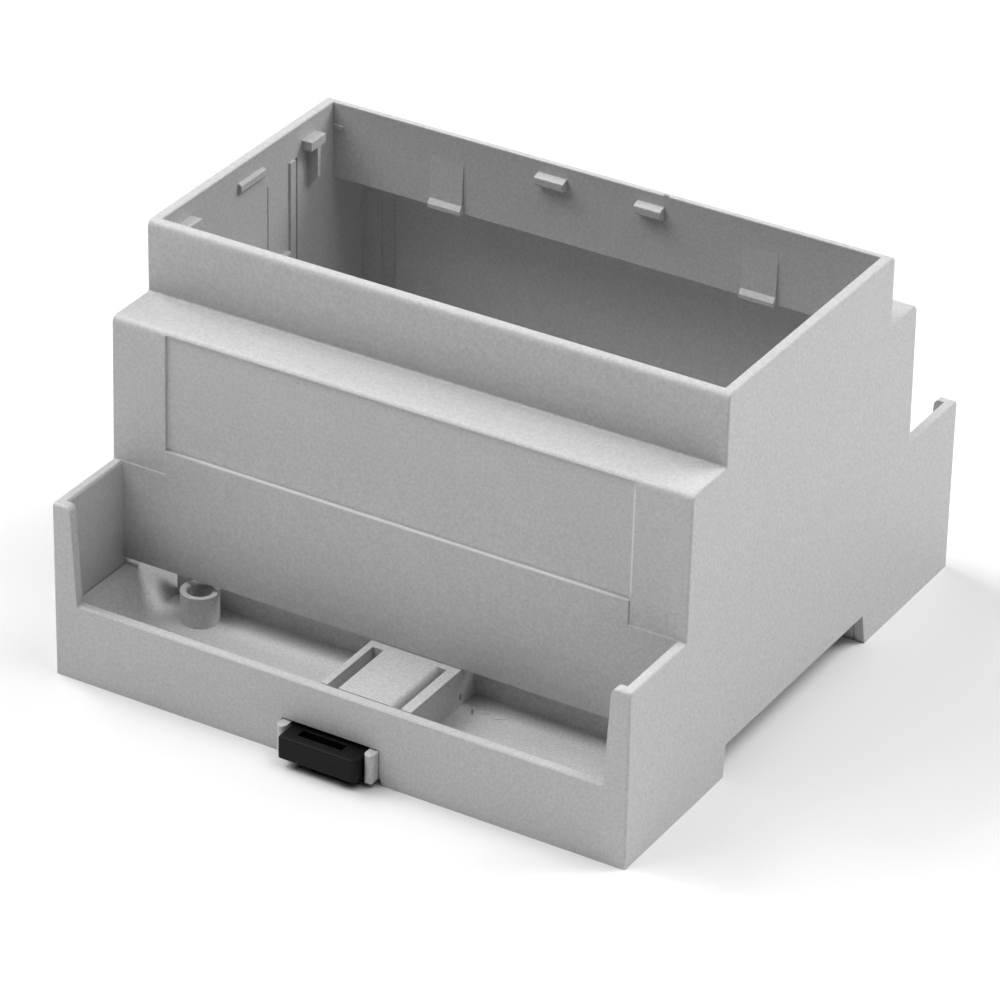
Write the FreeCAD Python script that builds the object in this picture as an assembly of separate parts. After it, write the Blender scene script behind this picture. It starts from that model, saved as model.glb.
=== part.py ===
import FreeCAD
import Part
import math
import os

os.makedirs("parts", exist_ok=True)
Vector = FreeCAD.Vector

# DIN rail enclosure, in millimetres. X runs along the rail, Y from the front (-) to the rear (+), Z up.
# The origin lies on the rail seat, at mid width and mid depth.

# Overall
width = 88.0
depth = 90.0
height = 58.4               # feet to rim
rail_recess = 4.85          # feet to rail seat

# Stepped outline of the housing
upper_front = 22.0          # mid depth to the front upper wall
upper_rear = 23.0           # mid depth to the rear upper wall
shoulder_height = 47.85     # feet to shoulder
shoulder_depth = 61.0       # over the middle walls at the shoulder
shoulder_thickness = 1.0
body_draft = 0.35           # growth of the middle wall from the shoulder to the bay
bay_wall_height = 26.4     # feet to the top of the bay's side walls
low_wall_height = 11.65     # feet to the top of the low front and rear walls
wall = 1.5                  # front, rear and middle walls
side_wall = 1.5
step_radius = 1.1           # outer corners of the outline at the rim and the shoulder
corner_radius = 0.6         # its corners at the top of the bays
inner_radius = 0.3          # inner corners of the outline
edge_radius = 0.3           # outer edges of the side walls, sharp at the feet
soft_edge = 0.25            # broken edges of rims and openings

# Rail channel, 35 mm top-hat rail
rail_width = 35.0
rail_flange = 1.0
channel_front = 18.9        # front side of the channel at the seat
channel_front_flare = 0.4
channel_rear = 19.45        # rear side of the channel at the seat
channel_rear_flare = 0.95
seat_front = 15.0           # front and rear edges of the seat, clear of the latch and the fixed hooks
seat_rear = 15.5
seat_relief = 0.3

# Posts at the ends of the low walls
post_foot = 3.6             # width at the low wall
post_top = 2.8
post_radius = 0.9

# Knock-out panel in the middle walls
panel_width = 71.0
panel_bottom = 30.1         # feet to its lower edge
panel_top = 47.25
panel_depth = 0.35
panel_sill = 0.1            # the wall below stands this much proud
panel_sill_bottom = 26.35

# Snap ribs and catches inside the upper walls, from the rim down
rib_drop = 1.8              # rim to the top of the ribs on the front and rear walls
rib_reach = 1.2
rib_nose = (0.3, 1.5)       # from the rib's top down to its nose, start and end
rib_root = 1.8
rib_spans = [(-9.6, -5.1), (5.9, 10.0)]
side_rib_drop = 2.6
side_rib_reach = 0.55
side_rib_nose = (0.2, 1.2)
side_rib_span = (-2.4, 3.7)
hook_span = (13.48, 17.06)  # along Y, the same at the front
hook_drop = 2.65
hook_reach = 1.6
hook_height = 1.35
hook_web_span = (15.0, 15.72)
hook_web_turn = 8.55        # where the web turns back to the wall
hook_web_end = 10.5
tab_spans = [(-26.6, -21.4), (22.2, 27.5)]
tab_drop = 3.9
tab_flare = (1.3, 0.6)      # the tab's foot flares between these heights over the shoulder's underside
tab_waist_reach = 0.35
tab_reach = 0.9
groove_offset = 11.95
groove_width = 0.75
groove_depth = 0.3
groove_drop = 4.75
strip_span = (10.2, 11.5)   # raised strip beside the groove
strip_reach = 0.28
line_offset = 4.88          # fine line left by a mould insert
line_width = 0.25
line_depth = 0.1
line_drop = 6.2
wall_features_bottom = 12.0     # feet to the lower ends of the groove, strip and line
corner_pip = 1.7            # pips in the corners of the upper walls
corner_pip_reach = 0.25
corner_pip_drop = 3.4
corner_pip_height = 0.6
ledge_span = (5.0, 9.6)
ledge_drop = 7.33           # shoulder to the top of the ledge
ledge_reach = 0.8
ledge_thickness = 1.2
guide_groove = (3.13, 5.6)  # board grooves in the middle walls, from the side wall's inner face
guide_groove_depth = 0.35
guide_drop = 6.2            # shoulder to the top of the board grooves

# Fit of the base in the housing
fit_gap = 0.15
seat_gap = 0.1
stop_reach = 1.1
stop_width = 1.2
stop_offset = 24.5
stop_height = 8.0
catch_reach = 0.8
catch_length = 8.0
catch_rise = 2.6
catch_offsets = (-32.0, 32.0)

# Base
floor_thickness = 1.15
shell = 1.2                 # ramps, rims and foot walls
ramp_rise = 4.5             # ramps at 45 degrees
strip_width = 1.65
foot_gap = 0.2              # the foot walls end this much above the feet
skirt = 1.3                 # walls along the rail channel
board_rib_setback = 3.45    # from the bay's inner wall to the board rib
boss_offset = (29.95, 31.2)
boss_radius = 2.7
boss_bore = 1.7
boss_mouth = 0.25           # chamfer of the bore's mouth
boss_height = 5.8           # rail seat to the top of the bosses
foot_rib_offset = 25.0
rear_rib_offset = 8.0

# Slotted block in the front bay
block_span = (-2.9, 10.9)
block_slots = [(-1.9, -0.2, 11.1), (8.3, 9.3, 11.4)]
block_edge = 0.9
block_core = (1.0, 5.4)
block_roof = 1.2

# Rail latch and its guides
latch_centre = -0.45
latch_width = 11.9
latch_thickness = 3.4
latch_play = 0.1            # between the latch and its guides, all round
latch_head = 3.4            # how far the head stands out of the front wall
latch_head_radii = (0.3, 0.8)   # left and right front corners
latch_travel = 4.0
latch_reach = 2.0           # how far the hook holds the rail's flange
rail_play = 0.1             # between the hooks and the rail's flange
guide_wall = 1.4
guide_nose = 1.6            # how far the guides stand out of the front wall
guide_nose_round = 0.65
guide_nose_top = 5.1        # feet to the top of the noses
guide_lip = 0.8
guide_lift = 0.5            # feet to the guides' lower edge
guide_end = 22.5            # rear end of the lips, from mid depth
notch_gap = 0.1
notch_height = 5.3
notch_flare = 0.55
notch_flare_height = 1.3
driver_slot_span = (-4.32, 2.54)
driver_slot_width = 1.5
driver_slot_depth = 2.4
driver_slot_inset = 0.4
arm_width = 1.2
arm_slit = 1.2
arm_root = 41.0             # from mid depth
bump_reach = 0.9
bump_length = 2.5
bump_height = 1.6
bump_rear = 30.35           # rear face of the bumps, from mid depth
window_play = 0.15

# Fixed hooks behind the rail
hook_tab_span = (18.0, 28.0)
hook_tab_reach = 1.5        # overlap with the rail's flange
hook_tab_thickness = 1.7


def level(above_feet):
    """Z of a height that is given from the feet."""
    return above_feet - rail_recess


half_width = width / 2
half_depth = depth / 2
half_shoulder = shoulder_depth / 2
half_body = half_shoulder + body_draft
half_inner = half_width - side_wall
half_bay = half_body + panel_sill
foot = level(0)
rim = level(height)
shoulder = level(shoulder_height)
under_shoulder = shoulder - shoulder_thickness
bay_top = level(bay_wall_height)
low_top = level(low_wall_height)
floor_top = floor_thickness
strip_top = floor_top + ramp_rise
base_half_width = half_inner - fit_gap
base_half_depth = half_depth - wall - seat_gap
ramp_top_x = base_half_width - strip_width
ramp_foot_x = ramp_top_x - ramp_rise
board_rib_y = half_bay - board_rib_setback - seat_gap
block_top = low_top - seat_gap
latch_left = latch_centre - latch_width / 2
latch_right = latch_centre + latch_width / 2
latch_top = -latch_play
latch_bottom = latch_top - latch_thickness
guide_left = latch_left - latch_play
guide_right = latch_right + latch_play
past = 5.0                  # how far cutting shapes run past the part


def box(x0, x1, y0, y1, z0, z1):
    """Block between two corners."""
    return Part.makeBox(x1 - x0, y1 - y0, z1 - z0, Vector(x0, y0, z0))


def rounded_face(corners, place):
    """Face through corners (a, b, radius); place turns (a, b) into a point in space."""
    flat = [Vector(c[0], c[1], 0) for c in corners]
    radii = [c[2] if len(c) > 2 else 0.0 for c in corners]
    count = len(flat)
    starts = []
    ends = []
    edges = []
    for i in range(count):
        corner = flat[i]
        if radii[i] == 0:
            starts.append(corner)
            ends.append(corner)
            continue
        before = (flat[i - 1] - corner).normalize()
        after = (flat[(i + 1) % count] - corner).normalize()
        half = before.getAngle(after) / 2
        bisector = (before + after).normalize()
        reach = radii[i] / math.tan(half)
        start = corner + before * reach
        end = corner + after * reach
        middle = corner + bisector * (radii[i] / math.sin(half) - radii[i])
        starts.append(start)
        ends.append(end)
        points = [place(p.x, p.y) for p in (start, middle, end)]
        edges.append((i, Part.Arc(points[0], points[1], points[2]).toShape()))
    ordered = []
    arcs = dict(edges)
    for i in range(count):
        if i in arcs:
            ordered.append(arcs[i])
        a = ends[i]
        b = starts[(i + 1) % count]
        if (b - a).Length > 1e-6:
            ordered.append(Part.makeLine(place(a.x, a.y), place(b.x, b.y)))
    return Part.Face(Part.Wire(ordered))


def prism_x(corners, x0, x1):
    """Corners (y, z, radius) carried from x0 to x1."""
    face = rounded_face(corners, lambda a, b: Vector(x0, a, b))
    return face.extrude(Vector(x1 - x0, 0, 0))


def prism_y(corners, y0, y1):
    """Corners (x, z, radius) carried from y0 to y1."""
    face = rounded_face(corners, lambda a, b: Vector(a, y0, b))
    return face.extrude(Vector(0, y1 - y0, 0))


def prism_z(corners, z0, z1):
    """Corners (x, y, radius) carried from z0 to z1."""
    face = rounded_face(corners, lambda a, b: Vector(a, b, z0))
    return face.extrude(Vector(0, 0, z1 - z0))


def to_rear(shape):
    """The same shape at the rear."""
    return shape.mirror(Vector(0, 0, 0), Vector(0, 1, 0))


def to_right(shape):
    """The same shape at the right."""
    return shape.mirror(Vector(0, 0, 0), Vector(1, 0, 0))


def four_corners(shape):
    """The shape at all four corners."""
    left = [shape, to_rear(shape)]
    return left + [to_right(s) for s in left]


def edges_at(shape, test):
    """Edges whose bounding box passes the test."""
    return [e for e in shape.Edges if test(e.BoundBox)]


def near(a, b):
    return abs(a - b) < 1e-3


def side_outline():
    """Outline of the side walls with the rail channel in its foot."""
    front = [
        (-channel_front, 0.0, inner_radius),
        (-channel_front - channel_front_flare, foot, inner_radius),
        (-half_depth, foot),
        (-half_depth, bay_top, corner_radius),
        (-half_body, bay_top, inner_radius),
        (-half_shoulder, shoulder, step_radius),
        (-upper_front, shoulder, inner_radius),
        (-upper_front, rim, step_radius),
    ]
    rear = [
        (upper_rear, rim, step_radius),
        (upper_rear, shoulder, inner_radius),
        (half_shoulder, shoulder, step_radius),
        (half_body, bay_top, inner_radius),
        (half_depth, bay_top, corner_radius),
        (half_depth, foot),
        (channel_rear + channel_rear_flare, foot, inner_radius),
        (channel_rear, 0.0, inner_radius),
    ]
    return front + rear


def housing_block():
    """Solid stepped block with rounded outer edges."""
    block = prism_x(side_outline(), -half_width, half_width)
    ends = edges_at(block, lambda b: near(b.XMin, b.XMax) and near(abs(b.XMin), half_width) and b.ZMax > floor_top)
    return block.makeFillet(edge_radius, ends)


def bay_space():
    """Terminal bay between the side walls, behind the front low wall."""
    bay_y = half_depth - wall
    return box(-half_inner, half_inner, -bay_y, -half_bay, foot - past, bay_top + past)


def window_space():
    """Open front of a bay, above the low wall and between the leaning posts."""
    low_edge = half_width - post_foot
    high_edge = half_width - post_top
    top = bay_top + past
    corners = [
        (-low_edge, low_top),
        (-high_edge, bay_top, post_radius),
        (-high_edge - past, bay_top),
        (-high_edge - past, top),
        (high_edge + past, top),
        (high_edge + past, bay_top),
        (high_edge, bay_top, post_radius),
        (low_edge, low_top),
    ]
    return prism_y(corners, -half_depth - past, -half_depth + wall + soft_edge)


def body_space():
    """Room inside the middle and upper walls."""
    lower = [
        (-half_body + wall, low_top - past),
        (half_body - wall, low_top - past),
        (half_shoulder - wall, under_shoulder),
        (-half_shoulder + wall, under_shoulder),
    ]
    middle = prism_x(lower, -half_inner, half_inner)
    y0 = -upper_front + wall
    y1 = upper_rear - wall
    upper = box(-half_inner, half_inner, y0, y1, under_shoulder - past, rim + past)
    return middle.fuse(upper)


def foot_space():
    """Room for the base between the low walls."""
    inner = half_depth - wall
    return box(-half_inner, half_inner, -inner, inner, foot - past, low_top)


def panel_space():
    """Knock-out panel, sunk in the outer face of the front middle wall."""
    slope = body_draft / (shoulder - bay_top)

    def face_y(z):
        return -half_body + slope * (z - bay_top)

    z0 = level(panel_bottom)
    z1 = level(panel_top)
    corners = [
        (face_y(z0) - past, z0),
        (face_y(z0) + panel_depth, z0),
        (face_y(z1) + panel_depth, z1),
        (face_y(z1) - past, z1),
    ]
    return prism_x(corners, -panel_width / 2, panel_width / 2)


def panel_sill_block():
    """Sill below the knock-out panel, level with the bay's inner wall."""
    half = panel_width / 2
    return box(-half, half, -half_bay, -half_body + wall / 2, bay_top - past, level(panel_bottom))


def body_walls():
    """Front middle wall inside the bay."""
    corners = [
        (-half_bay, low_top, soft_edge),
        (-half_body + wall, low_top, soft_edge),
        (-half_body + wall, level(panel_sill_bottom)),
        (-half_bay, level(panel_sill_bottom)),
    ]
    return prism_x(corners, -half_inner - side_wall / 2, half_inner + side_wall / 2)


def latch_notch():
    """Opening in the front low wall for the latch and its guides."""
    left = guide_left - guide_wall - notch_gap
    right = guide_right + guide_wall + notch_gap
    turn = level(notch_flare_height)
    corners = [
        (left, level(notch_height), inner_radius),
        (left, turn),
        (left - notch_flare, foot),
        (left - notch_flare, foot - past),
        (right + notch_flare, foot - past),
        (right + notch_flare, foot),
        (right, turn),
        (right, level(notch_height), inner_radius),
    ]
    return prism_y(corners, -half_depth - past, -half_depth + wall + seat_gap)


def front_snap_ribs(face):
    """Two snap ribs inside the front upper wall, whose outer face stands this far from mid depth."""
    inner = -face + wall
    top = rim - rib_drop
    corners = [
        (inner - wall / 2, top),
        (inner, top),
        (inner + rib_reach, top - rib_nose[0], soft_edge),
        (inner + rib_reach, top - rib_nose[1], soft_edge),
        (inner, top - rib_root),
        (inner - wall / 2, top - rib_root),
    ]
    return [prism_x(corners, a, b) for a, b in rib_spans]


def side_snap_rib():
    """Snap rib inside the left wall."""
    top = rim - side_rib_drop
    corners = [
        (-half_inner - side_wall / 2, top),
        (-half_inner, top),
        (-half_inner + side_rib_reach, top - side_rib_nose[0], soft_edge),
        (-half_inner + side_rib_reach, top - side_rib_nose[1], soft_edge),
        (-half_inner, top - rib_root),
        (-half_inner - side_wall / 2, top - rib_root),
    ]
    return prism_y(corners, side_rib_span[0], side_rib_span[1])


def rear_left_hook():
    """Cover hook inside the left wall, with the web under it."""
    root = -half_inner - side_wall / 2
    tip = -half_inner + hook_reach
    top = rim - hook_drop
    slab = box(root, tip, hook_span[0], hook_span[1], top - hook_height, top)
    corners = [
        (root, top - hook_height / 2),
        (tip, top - hook_height / 2),
        (tip, rim - hook_web_turn),
        (-half_inner, rim - hook_web_end),
        (root, rim - hook_web_end),
    ]
    return [slab, prism_y(corners, hook_web_span[0], hook_web_span[1])]


def front_tabs(face):
    """Tapered tabs down the inside of the front upper wall, flared at the foot."""
    inner = -face + wall
    root = inner - wall / 2
    corners = [
        (root, rim - tab_drop),
        (inner, rim - tab_drop),
        (inner + tab_waist_reach, under_shoulder + tab_flare[0]),
        (inner + tab_reach, under_shoulder + tab_flare[1]),
        (inner + tab_reach, under_shoulder),
        (root, under_shoulder),
    ]
    return [prism_x(corners, a, b) for a, b in tab_spans]


def rear_left_groove():
    """Shallow groove down the left wall."""
    y0 = groove_offset - groove_width / 2
    y1 = groove_offset + groove_width / 2
    x0 = -half_inner - groove_depth
    return box(x0, -half_inner + past, y0, y1, level(wall_features_bottom), rim - groove_drop)


def rear_left_line():
    """Fine line down the left wall."""
    y0 = line_offset - line_width / 2
    y1 = line_offset + line_width / 2
    x0 = -half_inner - line_depth
    return box(x0, -half_inner + past, y0, y1, level(wall_features_bottom), rim - line_drop)


def rear_left_strip():
    """Raised strip down the left wall, beside the groove."""
    x0 = -half_inner - side_wall / 2
    x1 = -half_inner + strip_reach
    return box(x0, x1, strip_span[0], strip_span[1], level(wall_features_bottom), rim - groove_drop)


def rear_left_pip(face):
    """Pip in the corner of the upper walls."""
    inner = face - wall
    x0 = -half_inner - side_wall / 2
    y0 = inner - corner_pip_reach
    y1 = inner + wall / 2
    z1 = rim - corner_pip_drop
    return box(x0, -half_inner + corner_pip, y0, y1, z1 - corner_pip_height, z1)


def side_ledge():
    """Small ledge inside the left wall."""
    x0 = -half_inner - side_wall / 2
    z1 = shoulder - ledge_drop
    corners = [
        (x0, z1),
        (-half_inner + ledge_reach, z1, soft_edge),
        (-half_inner + ledge_reach, z1 - ledge_thickness / 2, soft_edge),
        (-half_inner, z1 - ledge_thickness - ledge_reach),
        (x0, z1 - ledge_thickness - ledge_reach),
    ]
    return prism_y(corners, ledge_span[0], ledge_span[1])


def rear_left_guide():
    """Shallow board groove down the inside of the rear middle wall."""
    near_edge, far_edge = guide_groove
    slope = body_draft / (shoulder - bay_top)

    def face_y(z):
        return half_body - wall - slope * (z - bay_top)

    z0 = level(wall_features_bottom)
    z1 = shoulder - guide_drop
    corners = [
        (face_y(z0) - past, z0),
        (face_y(z0) + guide_groove_depth, z0),
        (face_y(z1) + guide_groove_depth, z1),
        (face_y(z1) - past, z1),
    ]
    return prism_x(corners, -half_inner + near_edge, -half_inner + far_edge)


def rear_left_stop():
    """Rib that holds the base down, above its end strip."""
    x0 = -half_inner - side_wall / 2
    y0 = stop_offset - stop_width / 2
    z0 = strip_top + seat_gap
    return box(x0, -half_inner + stop_reach, y0, y0 + stop_width, z0, z0 + stop_height)


def left_catches():
    """Catch wedges that hold the base up, under its end strip."""
    x0 = -half_inner - side_wall / 2
    z1 = strip_top - shell - seat_gap
    corners = [
        (x0, z1),
        (-half_inner + catch_reach, z1),
        (-half_inner, z1 - catch_rise),
        (x0, z1 - catch_rise),
    ]
    return [prism_y(corners, y - catch_length / 2, y + catch_length / 2) for y in catch_offsets]


def is_rim_edge(b):
    """Inner edges of the rim."""
    inside_x = max(-b.XMin, b.XMax) < half_inner + soft_edge
    inside_y = b.YMin > -upper_front + wall / 2 and b.YMax < upper_rear - wall / 2
    return near(b.ZMin, rim) and near(b.ZMax, rim) and inside_x and inside_y


def sill_chamfers():
    """Broken top edges of the front low wall, between the posts."""
    edge = half_width - post_foot - inner_radius
    shapes = []
    for y, side in ((-half_depth, 1), (-half_depth + wall, -1)):
        corners = [
            (y - side * soft_edge, low_top),
            (y, low_top - soft_edge),
            (y + side * soft_edge, low_top),
            (y, low_top + soft_edge),
        ]
        shapes.append(prism_x(corners, -edge, edge))
    return shapes


def front_left_bay_chamfer():
    """Broken inner edge along the top of the front bay's left wall."""
    corners = [
        (-half_inner + soft_edge, bay_top),
        (-half_inner, bay_top - soft_edge),
        (-half_inner - soft_edge, bay_top),
        (-half_inner, bay_top + soft_edge),
    ]
    return prism_y(corners, -half_depth + wall, -half_bay)


def housing():
    """Upper casing, one moulding."""
    shape = housing_block()
    bay = bay_space()
    shape = shape.cut([bay, to_rear(bay), foot_space()])
    walls = body_walls()
    sill = panel_sill_block()
    shape = shape.fuse([walls, to_rear(walls), sill, to_rear(sill)])
    panel = panel_space()
    window = window_space()
    shape = shape.cut([body_space(), panel, to_rear(panel)])
    shape = shape.cut([window, to_rear(window), latch_notch()])
    shape = shape.makeFillet(soft_edge, edges_at(shape, is_rim_edge))
    chamfers = sill_chamfers()
    shape = shape.cut(chamfers + [to_rear(c) for c in chamfers] + four_corners(front_left_bay_chamfer()))
    added = front_snap_ribs(upper_front) + [to_rear(r) for r in front_snap_ribs(upper_rear)]
    side_rib = side_snap_rib()
    ledge = side_ledge()
    added += [side_rib, to_right(side_rib), ledge, to_right(ledge)]
    catches = left_catches()
    added += catches + [to_right(c) for c in catches]
    added += front_tabs(upper_front) + [to_rear(t) for t in front_tabs(upper_rear)]
    strip = rear_left_strip()
    line = rear_left_line()
    rear_pip = rear_left_pip(upper_rear)
    front_pip = to_rear(rear_left_pip(upper_front))
    added += [strip, to_right(strip), rear_pip, to_right(rear_pip), front_pip, to_right(front_pip)]
    for piece in rear_left_hook() + [rear_left_stop()]:
        added += four_corners(piece)
    removed = [line, to_right(line)]
    for piece in (rear_left_groove(), rear_left_guide()):
        removed += four_corners(piece)
    return shape.cut(removed).fuse(added).removeSplitter()


def base_block():
    """Filled form of the base under its floor, ramps and strips."""
    z0 = foot + foot_gap
    corners = [
        (-base_half_width, z0),
        (-base_half_width, strip_top),
        (-ramp_top_x, strip_top),
        (-ramp_foot_x, floor_top),
        (ramp_foot_x, floor_top),
        (ramp_top_x, strip_top),
        (base_half_width, strip_top),
        (base_half_width, z0),
    ]
    return prism_y(corners, -base_half_depth, base_half_depth)


def underside(y0, y1):
    """Room below the floor, the ramps and the strips."""
    under_strip = strip_top - shell
    shift = shell * math.sqrt(2) - floor_thickness
    foot_x = ramp_foot_x + shift
    top_x = foot_x + under_strip
    edge = base_half_width + past
    corners = [
        (-edge, foot - past),
        (-edge, under_strip),
        (-top_x, under_strip),
        (-foot_x, 0.0),
        (foot_x, 0.0),
        (top_x, under_strip),
        (edge, under_strip),
        (edge, foot - past),
    ]
    return prism_y(corners, y0, y1)


def rail_channel_space():
    """Rail channel with its leaning sides."""
    front_slope = channel_front_flare / rail_recess
    rear_slope = channel_rear_flare / rail_recess
    up = strip_top
    down = foot - past
    corners = [
        (-channel_front + front_slope * up, up),
        (-channel_front + front_slope * down, down),
        (channel_rear - rear_slope * down, down),
        (channel_rear - rear_slope * up, up),
    ]
    return prism_x(corners, -half_width - past, half_width + past)


def seat_reliefs():
    """Shallow reliefs beside the rail seat, over the latch and the fixed hooks."""
    edge = base_half_width + past
    front = box(-edge, edge, -channel_front, -seat_front, -past, seat_relief)
    rear = box(-edge, edge, seat_rear, channel_rear, -past, seat_relief)
    return [front, rear]


def foot_pockets():
    """Hollows in the two feet between the foot ribs."""
    half = shell / 2
    edge = base_half_width + past
    front_y = (-base_half_depth + shell, -channel_front - channel_front_flare - skirt)
    rear_y = (channel_rear + channel_rear_flare + skirt, base_half_depth - shell)
    left = guide_left - guide_wall
    right = guide_right + guide_wall
    front_x = [
        (-edge, -foot_rib_offset - half),
        (-foot_rib_offset + half, left),
        (right, foot_rib_offset - half),
        (foot_rib_offset + half, edge),
    ]
    rear_x = [
        (-edge, -foot_rib_offset - half),
        (-foot_rib_offset + half, -rear_rib_offset - half),
        (-rear_rib_offset + half, rear_rib_offset - half),
        (rear_rib_offset + half, foot_rib_offset - half),
        (foot_rib_offset + half, edge),
    ]
    cells = [box(a, b, front_y[0], front_y[1], foot - past, strip_top) for a, b in front_x]
    cells += [box(a, b, rear_y[0], rear_y[1], foot - past, strip_top) for a, b in rear_x]
    return cells


def rims():
    """Front and rear rims of the tray."""
    y0 = -base_half_depth
    front = box(-base_half_width, base_half_width, y0, y0 + shell, 0, strip_top)
    return [front, to_rear(front)]


def board_ribs():
    """Ribs across the tray that carry the board."""
    front = box(-ramp_foot_x, ramp_foot_x, -board_rib_y, -board_rib_y + shell, 0, strip_top)
    return [front, to_rear(front)]


def boss_spots():
    """Places of the two bosses, on one diagonal."""
    x, y = boss_offset
    return [(-x, -y), (x, y)]


def bosses():
    """Two screw bosses on the floor."""
    z0 = floor_top / 2
    return [Part.makeCylinder(boss_radius, boss_height - z0, Vector(x, y, z0)) for x, y in boss_spots()]


def boss_bores():
    """Blind pilot holes of the bosses, with chamfered mouths."""
    bores = []
    for x, y in boss_spots():
        bores.append(Part.makeCylinder(boss_bore, boss_height, Vector(x, y, floor_top)))
        mouth = Vector(x, y, boss_height - boss_mouth)
        bores.append(Part.makeCone(boss_bore, boss_bore + 2 * boss_mouth, 2 * boss_mouth, mouth))
    return bores


def slotted_block():
    """Raised block with two open slots in the front bay."""
    y0 = -base_half_depth
    y1 = -board_rib_y + shell
    x0, x1 = block_span
    block = box(x0, x1, y0, y1, 0, block_top)
    slots = [box(a, b, y0 - past, y0 + length, floor_top, block_top + past) for a, b, length in block_slots]
    block = block.cut(slots)
    ridge = block_slots[1][0]
    chosen = edges_at(block, lambda b: near(b.XMin, ridge) and near(b.XMax, ridge) and near(b.ZMin, block_top)
                      and b.YLength > block_slots[0][2] / 2)
    return block.makeFillet(block_edge, chosen)


def block_hollow():
    """Hollow under the block, open to the latch."""
    y0 = -base_half_depth + shell
    y1 = -board_rib_y
    return box(block_core[0], block_core[1], y0, y1, foot - past, block_top - block_roof)


def guide_nose_block(outer, inner, y0, z0):
    """Nose of a guide, round in plan and at its lower end."""
    top = level(guide_nose_top)
    y1 = y0 + wall + guide_nose
    turn = guide_nose_round
    plan = [(outer, y1), (outer, y0, turn), (inner, y0, turn), (inner, y1)]
    front = [(outer, top), (inner, top), (inner, z0, turn), (outer, z0, turn)]
    side = [(y0, top, soft_edge), (y1, top), (y1, z0), (y0, z0, turn)]
    nose = prism_z(plan, z0, top).common(prism_y(front, y0, y1))
    return nose.common(prism_x(side, min(outer, inner), max(outer, inner)))


def guide_pair():
    """Guides beside the latch, with their noses through the front wall and lips below."""
    z0 = foot + guide_lift
    z1 = floor_top / 2
    y0 = -half_depth - guide_nose
    y1 = -channel_front - channel_front_flare - skirt / 2
    lip_top = latch_bottom - latch_play
    bend = guide_wall / 2 - notch_gap
    shapes = []
    for inner, side in ((guide_left, -1), (guide_right, 1)):
        outer = inner + side * guide_wall
        corners = [(outer, z1), (inner, z1), (inner, z0, bend), (outer, z0, bend)]
        guide = prism_y(corners, y0 + wall, y1)
        nose = guide_nose_block(outer, inner, y0, z0)
        middle = inner + side * guide_wall / 2
        tip = inner - side * guide_lip
        lip = box(min(middle, tip), max(middle, tip), -half_depth + wall, -guide_end, z0, lip_top)
        shapes += [guide.common(box(-half_width, half_width, -base_half_depth, 0, foot, rim)), nose, lip]
    return shapes


def guide_windows():
    """Windows in the guides in which the latch's bumps travel."""
    y1 = -bump_rear + window_play
    y0 = -bump_rear - bump_length - latch_travel - window_play
    middle = (latch_top + latch_bottom) / 2
    z0 = middle - bump_height / 2 - window_play
    z1 = middle + bump_height / 2 + window_play
    left = box(guide_left - guide_wall - notch_gap, guide_left + notch_gap, y0, y1, z0, z1)
    right = box(guide_right - notch_gap, guide_right + guide_wall + notch_gap, y0, y1, z0, z1)
    return [left, right]


def latch_space():
    """Way of the latch through the front rim and the channel's front wall."""
    return box(guide_left, guide_right, -half_depth, 0, foot - past, 0)


def fixed_hooks():
    """Two tabs that hold the rear flange of the rail."""
    tip = rail_width / 2 - hook_tab_reach
    top = -rail_flange - rail_play
    root = channel_rear + channel_rear_flare + skirt / 2
    corners = [
        (root, top),
        (tip, top, soft_edge),
        (tip, top - hook_tab_thickness / 2, soft_edge),
        (root, top - hook_tab_thickness),
    ]
    right = prism_x(corners, hook_tab_span[0], hook_tab_span[1])
    return [right, to_right(right)]


def base():
    """Lower casing, one moulding."""
    shape = base_block()
    room = underside(-half_depth - past, half_depth + past)
    channel = rail_channel_space().common(room)
    cells = [cell.common(room) for cell in foot_pockets()]
    shape = shape.cut([channel, latch_space()] + cells + seat_reliefs())
    shape = shape.fuse(rims() + board_ribs() + bosses() + [slotted_block()] + guide_pair() + fixed_hooks())
    return shape.cut(boss_bores() + guide_windows() + [block_hollow()]).removeSplitter()


def latch_plate():
    """Flat body of the latch with its rounded head."""
    front = -half_depth - latch_head
    tip = -rail_width / 2 + latch_reach
    corners = [
        (latch_left, front, latch_head_radii[0]),
        (latch_right, front, latch_head_radii[1]),
        (latch_right, tip, soft_edge),
        (latch_left, tip, soft_edge),
    ]
    return prism_z(corners, latch_bottom, latch_top)


def hook_relief():
    """Step under the rail's flange and the slope under the hook."""
    step = -channel_front + rail_flange - rail_play
    tip = -rail_width / 2 + latch_reach
    hook_top_z = -rail_flange - rail_play
    over = prism_x([(step, hook_top_z), (tip + past, hook_top_z), (tip + past, past), (step, past)],
                   latch_left - past, latch_right + past)
    slope_start = step - rail_flange
    under = prism_x([(slope_start, latch_bottom), (tip + past, hook_top_z - rail_flange + past),
                     (tip + past, latch_bottom - past), (slope_start, latch_bottom - past)],
                    latch_left - past, latch_right + past)
    return [over, under]


def arm_slits():
    """Slits that free the two spring arms."""
    end = -bump_rear + window_play * 2
    slits = []
    for edge, side in ((latch_left, 1), (latch_right, -1)):
        inner = edge + side * arm_width
        deep = inner + side * arm_slit
        long_slit = box(min(inner, deep), max(inner, deep), -arm_root, end, latch_bottom - past, past)
        out = edge - side * past
        cross = box(min(out, deep), max(out, deep), end, end + arm_slit, latch_bottom - past, past)
        slits += [long_slit, cross]
    return slits


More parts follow.
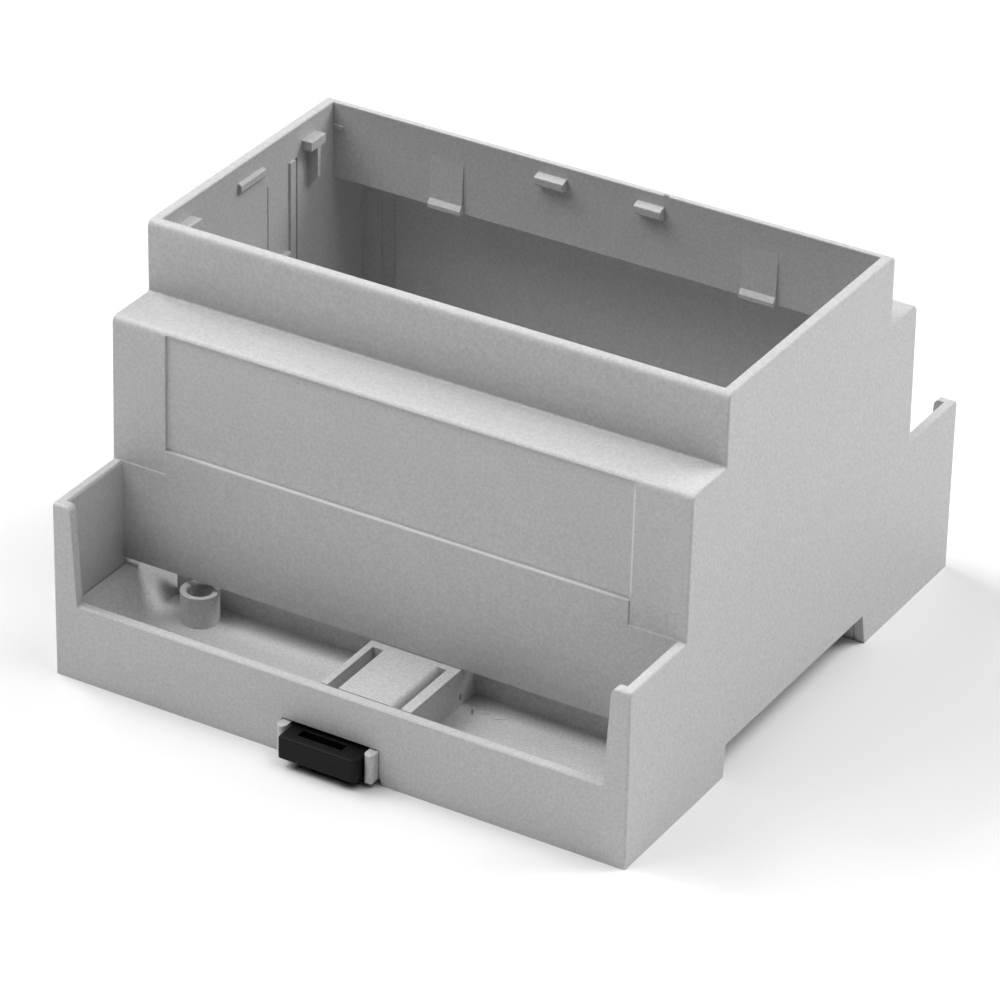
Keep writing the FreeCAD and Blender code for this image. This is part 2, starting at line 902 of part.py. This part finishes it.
def arm_bumps():
    """Bumps of the spring arms in the guides' windows."""
    middle = (latch_top + latch_bottom) / 2
    z0 = middle - bump_height / 2
    z1 = middle + bump_height / 2
    y1 = -bump_rear
    y0 = y1 - bump_length
    bumps = []
    for edge, side in ((latch_left, -1), (latch_right, 1)):
        root = edge - side * arm_width / 2
        tip = edge + side * bump_reach
        corners = [
            (root, y0),
            (edge, y0),
            (tip, y1 - bump_length / 2, soft_edge),
            (tip, y1, soft_edge),
            (root, y1),
        ]
        bumps.append(prism_z(corners, z0, z1))
    return bumps


def driver_slot_space():
    """Screwdriver slot in the top of the head."""
    y1 = -half_depth - driver_slot_inset
    x0, x1 = driver_slot_span
    return box(x0, x1, y1 - driver_slot_width, y1, latch_top - driver_slot_depth, past)


def rail_latch():
    """Sliding latch with its hook and spring arms, one moulding."""
    shape = latch_plate()
    front = -half_depth - latch_head
    head_end = front + max(latch_head_radii) + soft_edge
    rounded = edges_at(shape, lambda b: near(b.ZMin, b.ZMax) and b.YMax < head_end)
    shape = shape.makeFillet(soft_edge, rounded)
    shape = shape.cut(hook_relief() + arm_slits() + [driver_slot_space()])
    return shape.fuse(arm_bumps()).removeSplitter()


def save(shape, name):
    """One valid solid per file."""
    solid = shape.Solids[0]
    print(name, "solids", len(shape.Solids), "valid", shape.isValid(), "volume", round(shape.Volume, 1),
          "faces", len(shape.Faces))
    if len(shape.Solids) != 1 or not shape.isValid():
        raise RuntimeError(name + " isn't one valid solid")
    solid.exportStep("parts/" + name + ".step")


save(housing(), "housing")
save(base(), "base")
save(rail_latch(), "rail_latch")
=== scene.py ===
import math
import bpy
from mathutils import Matrix, Vector

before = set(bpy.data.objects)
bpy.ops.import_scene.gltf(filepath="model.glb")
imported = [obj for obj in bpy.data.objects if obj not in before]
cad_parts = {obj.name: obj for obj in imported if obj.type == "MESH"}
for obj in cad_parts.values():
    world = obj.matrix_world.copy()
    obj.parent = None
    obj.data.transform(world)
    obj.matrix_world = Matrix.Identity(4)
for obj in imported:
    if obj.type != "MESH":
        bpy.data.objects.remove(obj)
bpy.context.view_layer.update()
MM = 0.001
RAIL_RECESS = 4.85 * MM          # feet to rail seat; the frame's zero is the rail seat


def srgb(hex_value):
    """A six-digit sRGB colour as linear RGBA."""
    out = []
    for i in (0, 2, 4):
        c = int(hex_value[i:i + 2], 16) / 255
        out.append(c / 12.92 if c <= 0.04045 else ((c + 0.055) / 1.055) ** 2.4)
    return out + [1.0]


def per_mm(size_mm):
    """Texture scale for a pattern of this size in millimetres."""
    return 1.0 / (size_mm * MM)


def put(tree, kind, settings=None, **links):
    """Adds a node with its settings and its input values or links. An input is named, or numbered as in_0."""
    node = tree.nodes.new(kind)
    for name, value in (settings or {}).items():
        setattr(node, name, value)
    for name, value in links.items():
        key = int(name[3:]) if name.startswith("in_") else name.replace("_", " ")
        socket = node.inputs[key]
        if isinstance(value, bpy.types.NodeSocket):
            tree.links.new(value, socket)
        else:
            socket.default_value = value
    return node


def new_material(name):
    """An empty node material."""
    material = bpy.data.materials.new(name)
    material.use_nodes = True
    tree = material.node_tree
    tree.nodes.clear()
    return material, tree


def ramped(tree, value, low, high, at_low=0.0, at_high=1.0):
    """A value carried from one range to another, held at the ends."""
    node = put(tree, "ShaderNodeMapRange", {"clamp": True}, in_0=value, in_1=low, in_2=high,
               in_3=at_low, in_4=at_high)
    return node.outputs[0]


def blended(tree, share, first, second, blend="MIX"):
    """Two colours mixed by a share."""
    node = put(tree, "ShaderNodeMix", {"data_type": "RGBA", "blend_type": blend}, in_0=share,
               in_6=first, in_7=second)
    return node.outputs[2]


def between(tree, share, first, second):
    """Two values mixed by a share."""
    node = put(tree, "ShaderNodeMix", {"data_type": "FLOAT"}, in_0=share, in_2=first, in_3=second)
    return node.outputs[0]


def scaled_colour(colour, gain):
    """A linear colour made lighter or darker, at most white."""
    return [min(c * gain, 1.0) for c in colour[:3]] + [1.0]


def together(tree, masks):
    """The strongest of several masks."""
    total = masks[0]
    for mask in masks[1:]:
        total = put(tree, "ShaderNodeMath", {"operation": "MAXIMUM"}, in_0=total, in_1=mask).outputs[0]
    return total


EDGE_WIDTH = 0.16                # mm, width of the painted highlight along an edge
EDGE_TURN = (0.999, 0.92)        # cosine of the normal's turn where an edge starts and where it is full
CORE_REACH = (-1.0, -4.0)        # mm inwards where a face starts to count as the core's, and where it does


def painted_edge_highlight(tree):
    """1 along edges and 0 on flats, with the softened normal. The mask paints a highlight along every edge, partly
    standing in for handling wear, and makes edges smoother.
    """
    bevel = put(tree, "ShaderNodeBevel", {"samples": 4}, Radius=EDGE_WIDTH * MM)
    flat = put(tree, "ShaderNodeNewGeometry")
    dot = put(tree, "ShaderNodeVectorMath", {"operation": "DOT_PRODUCT"}, in_0=bevel.outputs[0],
              in_1=flat.outputs["True Normal"])
    return ramped(tree, dot.outputs["Value"], *EDGE_TURN), bevel.outputs[0]


def core_side(tree, place):
    """1 on faces that look inwards, which the mould's polished core forms, and 0 on the textured outside."""
    flat = put(tree, "ShaderNodeNewGeometry")
    level_place = put(tree, "ShaderNodeVectorMath", {"operation": "MULTIPLY"}, in_0=place, in_1=(1.0, 1.0, 0.0))
    dot = put(tree, "ShaderNodeVectorMath", {"operation": "DOT_PRODUCT"}, in_0=level_place.outputs[0],
              in_1=flat.outputs["True Normal"])
    return ramped(tree, dot.outputs["Value"], *(reach * MM for reach in CORE_REACH))


def spot_mark(tree, place, centre_mm, turn_deg, size_mm):
    """1 inside a mark's box at a centre, turned about Z, and 0 outside it, with a soft border."""
    centre = [c * MM for c in centre_mm]
    local = put(tree, "ShaderNodeVectorMath", {"operation": "SUBTRACT"}, in_0=place, in_1=centre)
    turned = put(tree, "ShaderNodeVectorRotate", {"rotation_type": "Z_AXIS"}, Vector=local.outputs[0],
                 Angle=math.radians(-turn_deg))
    scaled = put(tree, "ShaderNodeVectorMath", {"operation": "DIVIDE"}, in_0=turned.outputs[0],
                 in_1=[s * MM / 2 for s in size_mm])
    sides = put(tree, "ShaderNodeVectorMath", {"operation": "ABSOLUTE"}, in_0=scaled.outputs[0])
    along = put(tree, "ShaderNodeSeparateXYZ", Vector=sides.outputs[0])
    return ramped(tree, together(tree, along.outputs), 1.0, 0.8)


CLOUD_SIZE = 14.0                # mm, size of the faint clouds in the plastic's colour
CLOUD_GAINS = (0.97, 1.02)
GRAIN_RANGE = (0.3, 0.7)         # the part of the noise that the grain uses
SHEEN_CHANGE = 0.05              # roughness change between a pit and a rise of the grain
STAIN_LOOK = (0.85, 0.25)        # how much a stain covers, and its colour against the plastic's
HIGHLIGHT_LINE_LOOK = (0.8, 1.45)          # the same for a painted highlight line along an edge
PLASTIC_IOR = 1.53


def moulded_plastic(name, colour, rough, core_rough, grain_mm, grain_height_mm, speck_gain, edge_highlight_gain,
                    stains=(), highlight_lines=(), gloss=0.5):
    """Injection-moulded plastic: an even, slightly clouded colour under the fine pitted skin of a spark-eroded
    mould, which breaks reflections into a soft sheen. Faces from the polished core are smoother; edges are
    smoother and carry a painted highlight, partly standing in for handling wear. The real pits are about 0.05 mm;
    they are drawn as coarse as one picture point. Stains are dark knocks, and the lines are painted highlights
    along the knock-out panel's lower ledge and right edge, where its shallow recess catches the light."""
    material, tree = new_material(name)
    place = put(tree, "ShaderNodeTexCoord").outputs["Object"]
    grain = put(tree, "ShaderNodeTexNoise", {"noise_dimensions": "3D"}, Vector=place, Scale=per_mm(grain_mm),
                Detail=2.0, Roughness=0.6).outputs["Fac"]
    cloud = put(tree, "ShaderNodeTexNoise", {"noise_dimensions": "3D"}, Vector=place, Scale=per_mm(CLOUD_SIZE),
                Detail=3.0, Roughness=0.5).outputs["Fac"]
    edge, soft_normal = painted_edge_highlight(tree)
    core = core_side(tree, place)
    base = srgb(colour)
    clouded = blended(tree, cloud, *(scaled_colour(base, gain) for gain in CLOUD_GAINS))
    speck = ramped(tree, grain, *GRAIN_RANGE, 1.0 - speck_gain, 1.0 + speck_gain)
    speckled = blended(tree, 1.0, clouded, speck, "MULTIPLY")
    # Painted highlight: the colour is made lighter along every edge, partly standing in for handling wear.
    coloured = blended(tree, edge, speckled, scaled_colour(base, edge_highlight_gain))
    # Stains are dark marks; the lines are painted highlights along the panel's edges.
    for marks, (share, gain) in ((stains, STAIN_LOOK), (highlight_lines, HIGHLIGHT_LINE_LOOK)):
        if marks:
            inside = together(tree, [spot_mark(tree, place, *mark) for mark in marks])
            coloured = blended(tree, ramped(tree, inside, 0.0, 1.0, 0.0, share), coloured,
                               scaled_colour(base, gain))
    skin = between(tree, core, rough, core_rough)
    sheen = ramped(tree, grain, *GRAIN_RANGE, SHEEN_CHANGE, -SHEEN_CHANGE)
    broken = put(tree, "ShaderNodeMath", {"operation": "ADD"}, in_0=skin, in_1=sheen).outputs[0]
    polish = between(tree, edge, broken, core_rough)
    bump = put(tree, "ShaderNodeBump", Strength=1.0, Distance=grain_height_mm * MM, Height=grain,
               Normal=soft_normal)
    shader = put(tree, "ShaderNodeBsdfPrincipled", Base_Color=coloured, Roughness=polish, IOR=PLASTIC_IOR,
                 Specular_IOR_Level=gloss, Normal=bump.outputs[0])
    put(tree, "ShaderNodeOutputMaterial", Surface=shader.outputs[0])
    return material


# Marks as (centre in mm, turn in degrees, length, width and height in mm).
TRAY_STAINS = (
    ((10.9, -31.1, 2.6), 0.0, (0.6, 0.6, 1.0)),          # pit in the side of the slotted block
    ((12.95, -31.4, 1.15), -62.0, (1.4, 0.36, 0.4)),     # knock on the floor
    ((14.7, -30.9, 1.15), 35.0, (1.3, 0.12, 0.4)),       # two hair scratches on the floor
    ((17.1, -31.0, 1.15), 30.0, (2.2, 0.12, 0.4)),
)
GATE_NICK = (((10.2, 21.6, 53.55), 0.0, (0.9, 0.35, 0.5)),)      # dark nick on the rear rim
# Painted highlights: bright lines along the knock-out panel's lower ledge and right edge, where its shallow recess
# catches the light.
PANEL_EDGE_HIGHLIGHTS = (
    ((0.0, -30.8, 25.25), 0.0, (71.3, 1.0, 0.3)),        # lower edge of the knock-out panel
    ((35.62, -30.65, 33.8), 0.0, (0.3, 0.8, 17.2)),      # its right edge
)

skins = {
    # Outer casing, from a spark-eroded mould: matt and evenly grained, a neutral light grey.
    "housing": moulded_plastic("spark_eroded_abs_light_grey", "C2C2C2", rough=0.5, core_rough=0.4, grain_mm=0.42,
                               grain_height_mm=0.025, speck_gain=0.1, edge_highlight_gain=1.12, stains=GATE_NICK,
                               highlight_lines=PANEL_EDGE_HIGHLIGHTS),
    # Tray and foot, from a finer mould: satin, so the ramps and the floor carry soft reflections.
    "base": moulded_plastic("satin_abs_light_grey", "C4C4C4", rough=0.36, core_rough=0.36, grain_mm=0.4,
                            grain_height_mm=0.01, speck_gain=0.13, edge_highlight_gain=1.1, stains=TRAY_STAINS),
    # Sliding latch, tougher and darker: near black, with a strong painted grey highlight along its edges that
    # partly stands in for rubbed wear.
    "rail_latch": moulded_plastic("glass_filled_nylon_black", "0D0D0D", rough=0.5, core_rough=0.45, grain_mm=0.35,
                                  grain_height_mm=0.012, speck_gain=0.14, edge_highlight_gain=5.0, gloss=0.16),
}
for node, skin in skins.items():
    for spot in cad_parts[node].material_slots:
        spot.material = skin


def table_top():
    """Large white table top under the feet, matt as paper."""
    mesh = bpy.data.meshes.new("table_top")
    r = 3.0
    z = -RAIL_RECESS
    mesh.from_pydata([(-r, -r, z), (r, -r, z), (r, r, z), (-r, r, z)], [], [(0, 1, 2, 3)])
    table = bpy.data.objects.new("table_top", mesh)
    bpy.context.scene.collection.objects.link(table)
    material, tree = new_material("matt_white_paper")
    shader = put(tree, "ShaderNodeBsdfPrincipled", Base_Color=srgb("F0F0F0"), Roughness=0.9, IOR=1.45)
    put(tree, "ShaderNodeOutputMaterial", Surface=shader.outputs[0])
    mesh.materials.append(material)


# Square soft lights as (name, place in m, side in m, power in W). All face the middle of the enclosure.
LIGHT_AIM = (0.0, 0.0, 0.02)
LIGHTS = (
    ("top_left_light", (-0.65, 0.0, 0.75), 0.6, 6.8),
    ("right_rear_light", (0.5, 0.5, 0.7), 0.5, 6.0),
    ("top_right_light", (0.35, 0.0, 0.9), 0.4, 2.6),
    ("front_light", (-0.45, -0.45, 0.8), 0.5, 2.2),
    ("high_front_light", (-0.2, -0.35, 0.95), 0.4, 1.45),
)


def soft_box(name, place, side, power):
    """Square studio light that faces the enclosure."""
    data = bpy.data.lights.new(name, "AREA")
    data.shape = "RECTANGLE"
    data.size = data.size_y = side
    data.energy = power
    lamp = bpy.data.objects.new(name, data)
    lamp.location = place
    lamp.rotation_mode = "QUATERNION"
    lamp.rotation_quaternion = (Vector(LIGHT_AIM) - Vector(place)).to_track_quat("-Z", "Y")
    bpy.context.scene.collection.objects.link(lamp)


def studio():
    """Dark surroundings with soft lights above, so that only these and the table light the enclosure."""
    bpy.context.scene.view_settings.view_transform = "Standard"
    world = bpy.data.worlds.new("studio")
    bpy.context.scene.world = world
    world.use_nodes = True
    world.node_tree.nodes.clear()
    glow = put(world.node_tree, "ShaderNodeBackground", Color=(1.0, 1.0, 1.0, 1.0), Strength=0.0)
    put(world.node_tree, "ShaderNodeOutputWorld", Surface=glow.outputs[0])
    for lamp in LIGHTS:
        soft_box(*lamp)


# Camera solved from the photograph's edges, with lengths in mm from the feet at mid width and mid depth.
CAMERA_TURN, CAMERA_TILT, CAMERA_ROLL = (math.radians(a) for a in (30.437, 30.103, 1.173))
CAMERA_DISTANCE = 732.985
AIM_HEIGHT = 25.0
AIM_RIGHT, AIM_UP = -1.791, -5.454      # the aim from that height, in the picture's plane
FOCAL_POINTS = 5447.41                  # focal length in points of a picture 1000 points wide
SENSOR_WIDTH = 36.0


def photo_camera():
    """Camera at the photograph's angle."""
    back = Vector((math.sin(CAMERA_TURN) * math.cos(CAMERA_TILT), -math.cos(CAMERA_TURN) * math.cos(CAMERA_TILT),
                   math.sin(CAMERA_TILT)))
    right = Vector((math.cos(CAMERA_TURN), math.sin(CAMERA_TURN), 0.0))
    up = back.cross(right)
    rolled_right = math.cos(CAMERA_ROLL) * right + math.sin(CAMERA_ROLL) * up
    rolled_up = math.cos(CAMERA_ROLL) * up - math.sin(CAMERA_ROLL) * right
    aim = Vector((0.0, 0.0, AIM_HEIGHT)) + AIM_RIGHT * rolled_right + AIM_UP * rolled_up
    place = (aim + CAMERA_DISTANCE * back) * MM - Vector((0.0, 0.0, RAIL_RECESS))
    data = bpy.data.cameras.new("camera")
    data.sensor_width = SENSOR_WIDTH
    data.lens = FOCAL_POINTS / 1000 * SENSOR_WIDTH
    data.clip_start = 0.01
    camera = bpy.data.objects.new("camera", data)
    camera.matrix_world = Matrix.Translation(place) @ Matrix((rolled_right, rolled_up, back)).transposed().to_4x4()
    bpy.context.scene.collection.objects.link(camera)
    bpy.context.scene.camera = camera


table_top()
studio()
photo_camera()
